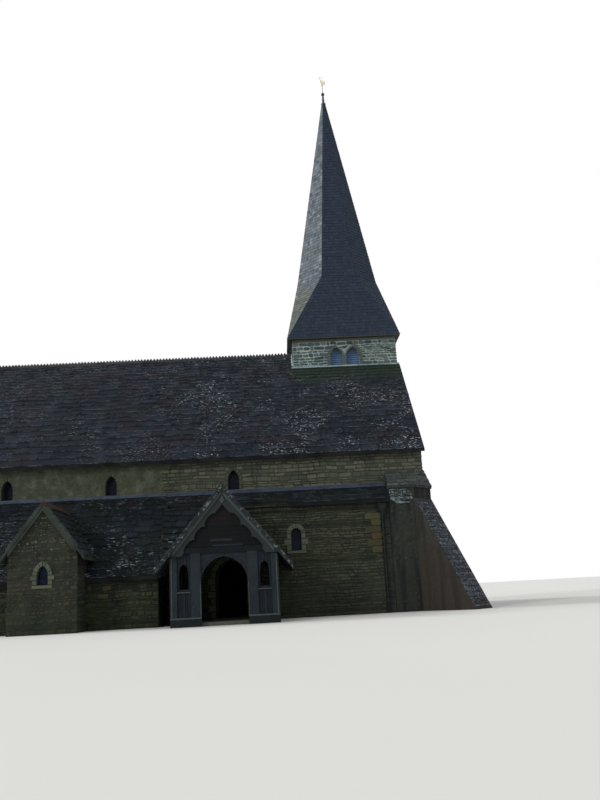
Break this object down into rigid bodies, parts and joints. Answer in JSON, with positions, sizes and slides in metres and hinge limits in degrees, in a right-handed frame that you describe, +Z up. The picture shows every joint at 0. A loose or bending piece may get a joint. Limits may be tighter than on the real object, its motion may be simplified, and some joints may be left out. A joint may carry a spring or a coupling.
{
  "type": "parish church with shingled spire and timber porch",
  "caption": "Hollow stone parish church with lean-to aisles, a square tower under a splay-foot shingled spire with a turning weathercock, and a timber-framed gabled porch.",
  "frame": {"origin": "ground level under the nave ridge, halfway along the nave", "axes": "+Z up, +X towards the west end with the tower, -Y towards the north side with the porch"},
  "size_m": [22.1176, 17.68, 28.485],
  "materials": {
    "rubble": "rough",
    "clerestory_stone": "rough",
    "tower_rubble": "rough",
    "aisle_stone": "rough",
    "roof_slabs": "rough",
    "ridge_tiles": "matte",
    "floor_stone": "worn",
    "shingles": "weathered",
    "lead": "satin",
    "gilt": "satin",
    "louvre_boards": "weathered",
    "leaded_glass": "glossy",
    "pipe_iron": "satin",
    "frame_oak": "weathered",
    "board_oak": "weathered"
  },
  "bodies": {
    "church": {"church_floor": "floor_stone", "nave_north_arcade": "rubble", "nave_north_clerestory": "clerestory_stone", "nave_south_arcade": "rubble", "nave_south_clerestory": "clerestory_stone", "nave_east_wall": "clerestory_stone", "nave_west_wall": "clerestory_stone", "nave_roof_north": "roof_slabs", "nave_roof_south": "roof_slabs", "nave_ridge_tiles": "ridge_tiles", "tower_north_wall": "tower_rubble", "tower_south_wall": "tower_rubble", "tower_east_wall": "tower_rubble", "tower_west_wall": "tower_rubble", "belfry_louvres": "louvre_boards", "spire_plate": "frame_oak", "spire_splay": "shingles", "spire_octagon": "shingles", "spire_finial": "lead", "north_aisle_wall": "aisle_stone", "north_aisle_roof": "roof_slabs", "chapel_walls": "aisle_stone", "chapel_roof": "roof_slabs", "south_aisle_wall": "aisle_stone", "south_aisle_roof": "roof_slabs", "aisle_end_walls": "aisle_stone", "west_bay_wall": "rubble", "west_bay_roof": "roof_slabs", "window_glass": "leaded_glass", "rainwater_pipe": "pipe_iron", "corner_pier": "rubble", "pier_weathering": "roof_slabs", "raking_buttress": "rubble", "porch_floor": "floor_stone", "porch_sills": "frame_oak", "porch_front_posts": "frame_oak", "porch_tie_beam": "frame_oak", "porch_door_arch": "board_oak", "porch_front_boards": "board_oak", "porch_bargeboards": "board_oak", "porch_side_walls": "board_oak", "porch_wall_plates": "frame_oak", "porch_rafters": "frame_oak", "porch_roof": "roof_slabs"},
    "weathercock": {"weathercock": "gilt"}
  },
  "joints": [
    {"name": "weathercock_turn", "type": "hinge", "parent": "church", "child": "weathercock", "pos_m": [7.585, 1.675, 28.1], "axis": [0, 0, 1], "continuous": true}
  ]
}
